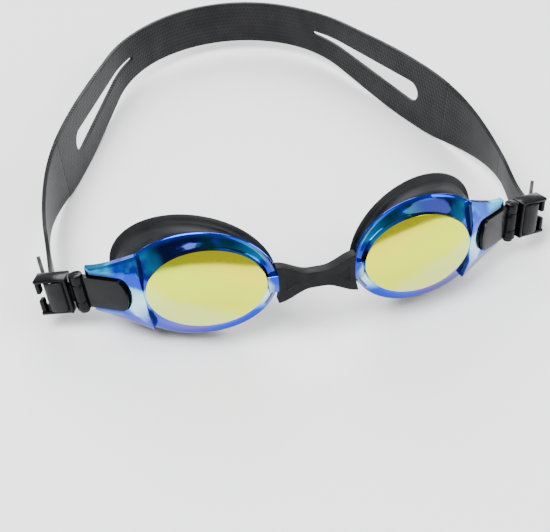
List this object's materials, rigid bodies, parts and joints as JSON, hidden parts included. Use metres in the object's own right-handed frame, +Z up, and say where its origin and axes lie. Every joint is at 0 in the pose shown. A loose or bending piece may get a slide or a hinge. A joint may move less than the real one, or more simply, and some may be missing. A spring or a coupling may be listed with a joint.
{
  "type": "swim goggles",
  "caption": "Swim goggles with mirrored oval lens shells, soft gaskets, hourglass nose bridge, hinged side buckles and a slotted silicone head strap.",
  "frame": {"origin": "middle of the overall box in x and y, on the surface that the strap and gaskets lie on", "axes": "+X to the right of someone who faces the lenses, lenses face -Y, strap loop runs back to +Y, +Z up"},
  "size_m": [0.1742, 0.172, 0.0404],
  "materials": {
    "lens_mirror": "multi-layer mirror coating, lime gold on the oval and blue to violet on the surround",
    "gasket_rubber": "soft satin black",
    "bridge_rubber": "satin black",
    "clip_plastic": "glossy black",
    "strap_silicone": "matt charcoal with rows of fine pits"
  },
  "bodies": {
    "front": {"lens_left": "lens_mirror", "lens_right": "lens_mirror", "gasket_left": "gasket_rubber", "gasket_right": "gasket_rubber", "nose_bridge": "bridge_rubber", "clip_arm_left": "clip_plastic", "clip_arm_right": "clip_plastic", "hinge_pin_left": "clip_plastic", "hinge_pin_right": "clip_plastic", "strap_side_left": "strap_silicone", "strap_side_right": "strap_silicone"},
    "buckle_assembly_left": {"buckle_left": "clip_plastic", "strap_wrap_left": "strap_silicone", "strap_tail_left": "strap_silicone"},
    "buckle_assembly_right": {"buckle_right": "clip_plastic", "strap_wrap_right": "strap_silicone", "strap_tail_right": "strap_silicone"},
    "strap": {"strap_band": "strap_silicone"}
  },
  "joints": [
    {"name": "buckle_swing_right", "type": "hinge", "parent": "front", "child": "buckle_assembly_right", "pos_m": [0.07171, -0.06049, 0.01474], "axis": [0.1187, 0.2332, 0.9652], "range_deg": [-12, 25]},
    {"name": "buckle_swing_left", "type": "hinge", "parent": "front", "child": "buckle_assembly_left", "pos_m": [-0.07171, -0.06049, 0.01474], "axis": [0.1187, -0.2332, -0.9652], "range_deg": [-12, 25]},
    {"name": "strap_stretch", "type": "slide", "parent": "front", "child": "strap", "axis": [0, 1, 0], "range_m": [0, 0.03], "stiffness_N_per_m": 60, "deforming": ["strap_side_left", "strap_side_right"]}
  ]
}
